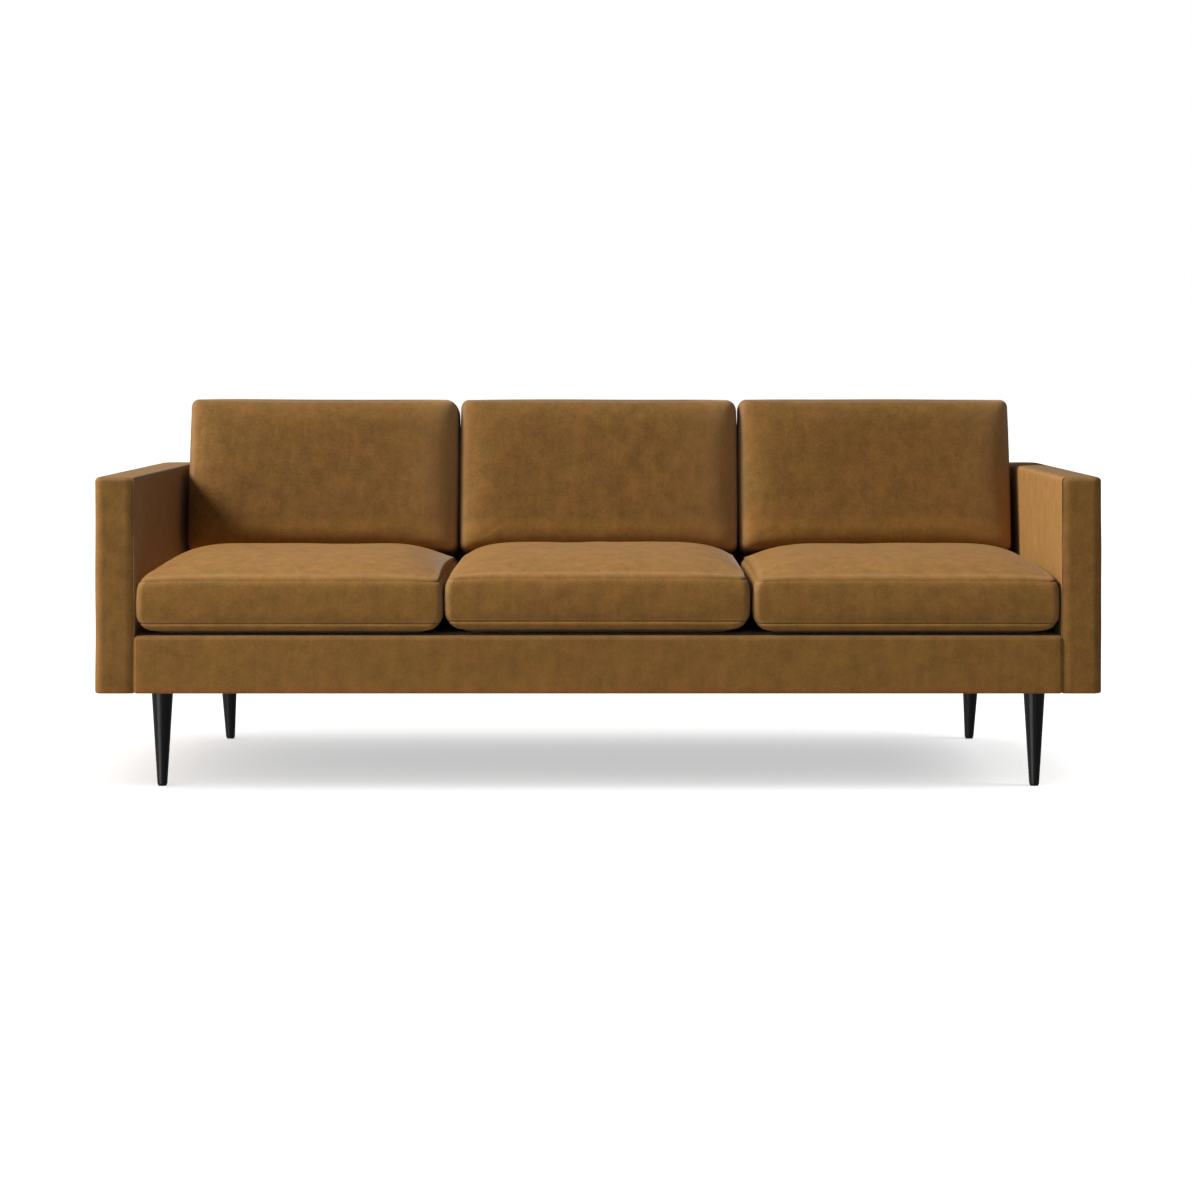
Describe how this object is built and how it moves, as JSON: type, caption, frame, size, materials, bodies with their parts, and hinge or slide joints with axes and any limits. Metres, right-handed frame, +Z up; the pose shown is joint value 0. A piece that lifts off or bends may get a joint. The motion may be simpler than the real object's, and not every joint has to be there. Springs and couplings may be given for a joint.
{
  "type": "tuxedo sofa",
  "caption": "Long upholstered sofa with slim square arms, loose box seat cushions, leaning loose back cushions and round tapered wooden legs.",
  "frame": {"origin": "on the floor, under the centre of the sofa's width and depth", "axes": "+X across the width to the right of someone who faces the sofa, +Y from the front to the back, +Z up"},
  "size_m": [2.184, 0.914, 0.8371],
  "materials": {
    "velvet": "matte",
    "leg_wood": "satin",
    "frame_timber": "matte",
    "foam": "matte",
    "steel": "satin",
    "webbing": "matte",
    "felt": "matte",
    "dust_cloth": "matte",
    "glide_plastic": "matte"
  },
  "bodies": {
    "sofa_frame": {"front_rail": "frame_timber", "rear_rail": "frame_timber", "spring_rail": "frame_timber", "side_rail_left": "frame_timber", "side_rail_right": "frame_timber", "stretchers": "frame_timber", "leg_blocks": "frame_timber", "leg_plates": "steel", "plate_screws": "steel", "hanger_bolts": "steel", "leg_front_left": "leg_wood", "leg_front_right": "leg_wood", "leg_rear_left": "leg_wood", "leg_rear_right": "leg_wood", "leg_glides": "glide_plastic", "seat_springs": "steel", "spring_clips": "steel", "tie_wires": "steel", "deck_felt": "felt", "deck_pad": "foam", "deck_cover": "velvet", "front_rail_pad": "foam", "front_rail_cover": "velvet", "dust_cover": "dust_cloth", "arm_front_post_left": "frame_timber", "arm_front_post_right": "frame_timber", "arm_rear_post_left": "frame_timber", "arm_rear_post_right": "frame_timber", "arm_top_rail_left": "frame_timber", "arm_top_rail_right": "frame_timber", "arm_bottom_rail_left": "frame_timber", "arm_bottom_rail_right": "frame_timber", "arm_pad_left": "foam", "arm_pad_right": "foam", "arm_cover_left": "velvet", "arm_cover_right": "velvet", "arm_bolts": "steel", "arm_washers": "steel", "arm_nuts": "steel", "back_bottom_rail": "frame_timber", "back_posts": "frame_timber", "back_top_rail": "frame_timber", "back_webs": "webbing", "back_pad": "foam", "inside_back_cover": "velvet", "outside_back_pad": "foam", "outside_back_cover": "velvet"},
    "seat_left": {"seat_cushion_left": "velvet", "seat_core_left": "foam"},
    "seat_centre": {"seat_cushion_centre": "velvet", "seat_core_centre": "foam"},
    "seat_right": {"seat_cushion_right": "velvet", "seat_core_right": "foam"},
    "back_left": {"back_cushion_left": "velvet", "back_core_left": "foam"},
    "back_centre": {"back_cushion_centre": "velvet", "back_core_centre": "foam"},
    "back_right": {"back_cushion_right": "velvet", "back_core_right": "foam"}
  },
  "joints": [
    {"name": "seat_left_slide", "type": "slide", "parent": "sofa_frame", "child": "seat_left", "axis": [0, -1, 0], "range_m": [0, 0.8]},
    {"name": "seat_centre_slide", "type": "slide", "parent": "sofa_frame", "child": "seat_centre", "axis": [0, -1, 0], "range_m": [0, 0.8]},
    {"name": "seat_right_slide", "type": "slide", "parent": "sofa_frame", "child": "seat_right", "axis": [0, -1, 0], "range_m": [0, 0.8]},
    {"name": "back_left_lift", "type": "slide", "parent": "sofa_frame", "child": "back_left", "axis": [0, 0, 1], "range_m": [0, 0.45]},
    {"name": "back_centre_lift", "type": "slide", "parent": "sofa_frame", "child": "back_centre", "axis": [0, 0, 1], "range_m": [0, 0.45]},
    {"name": "back_right_lift", "type": "slide", "parent": "sofa_frame", "child": "back_right", "axis": [0, 0, 1], "range_m": [0, 0.45]}
  ]
}
